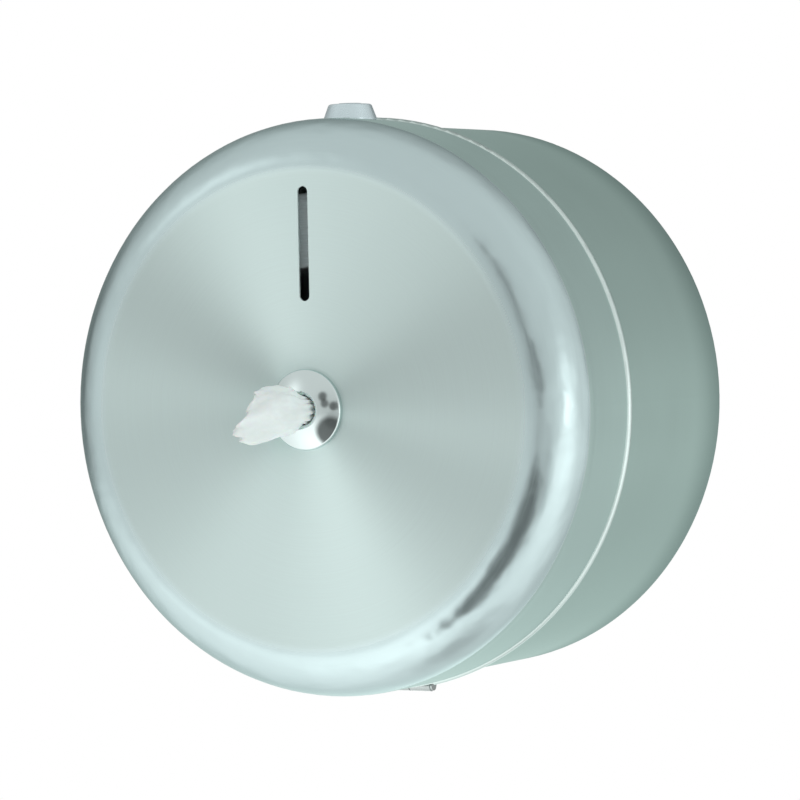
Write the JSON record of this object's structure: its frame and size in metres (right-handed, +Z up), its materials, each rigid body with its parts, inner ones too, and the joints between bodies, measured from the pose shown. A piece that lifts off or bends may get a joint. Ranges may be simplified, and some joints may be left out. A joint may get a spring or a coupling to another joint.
{
  "type": "toilet roll dispenser",
  "caption": "Round brushed-steel centre-pull dispenser for a jumbo toilet roll, wall mounted, with a drop-down key-locked cover, level slot and chrome nozzle.",
  "frame": {"origin": "middle of the drum's flat back, on the wall plane, at the middle of the four wall screws", "axes": "+Z up, +Y into the wall, so the round cover faces -Y; +X to the right for someone facing the dispenser"},
  "size_m": [0.2824, 0.2099, 0.2888],
  "materials": {
    "cover_steel": "satin, brushed in circles about the nozzle",
    "drum_steel": "satin, brushed round the drum",
    "plain_steel": "mill finish sheet",
    "hinge_steel": "polished",
    "zinc_fasteners": "zinc plated",
    "nozzle_chrome": "mirror chrome",
    "lock_plastic": "satin moulded",
    "lock_plug_plastic": "satin moulded",
    "white_plastic": "satin moulded",
    "black_rubber": "matt",
    "roll_paper": "soft wound tissue",
    "tissue": "soft creased tissue"
  },
  "bodies": {
    "housing": {"rear_drum": "drum_steel", "neck_ring": "plain_steel", "back_plate": "plain_steel", "roll_cradle": "plain_steel", "cradle_legs": "plain_steel", "cradle_studs": "zinc_fasteners", "cradle_nuts": "zinc_fasteners", "backstop_ring": "plain_steel", "backstop_posts": "plain_steel", "backstop_screws": "zinc_fasteners", "strike_bracket": "plain_steel", "strike_pin": "zinc_fasteners", "strike_rivets": "zinc_fasteners", "hinge_leaf_drum": "hinge_steel", "hinge_rivets_drum": "hinge_steel", "hinge_pin": "hinge_steel", "paper_roll": "roll_paper"},
    "cover": {"front_cover": "cover_steel", "hinge_leaf_cover": "hinge_steel", "hinge_rivets_cover": "hinge_steel", "nozzle_dome": "nozzle_chrome", "nozzle_gasket": "black_rubber", "nozzle_nut": "white_plastic", "nozzle_insert": "white_plastic", "tissue_tail": "tissue", "lock_housing": "lock_plastic", "lock_washer": "zinc_fasteners", "lock_nut": "zinc_fasteners"},
    "lock": {"lock_plug": "lock_plug_plastic", "latch_hook": "zinc_fasteners", "hook_screw": "zinc_fasteners"}
  },
  "joints": [
    {"name": "cover_hinge", "type": "hinge", "parent": "housing", "child": "cover", "pos_m": [0, -0.115, -0.138], "axis": [1, 0, 0], "range_deg": [0, 110]},
    {"name": "lock_turn", "type": "hinge", "parent": "cover", "child": "lock", "pos_m": [0, -0.133, 0.13], "axis": [0, 0, 1], "range_deg": [0, 90]}
  ]
}
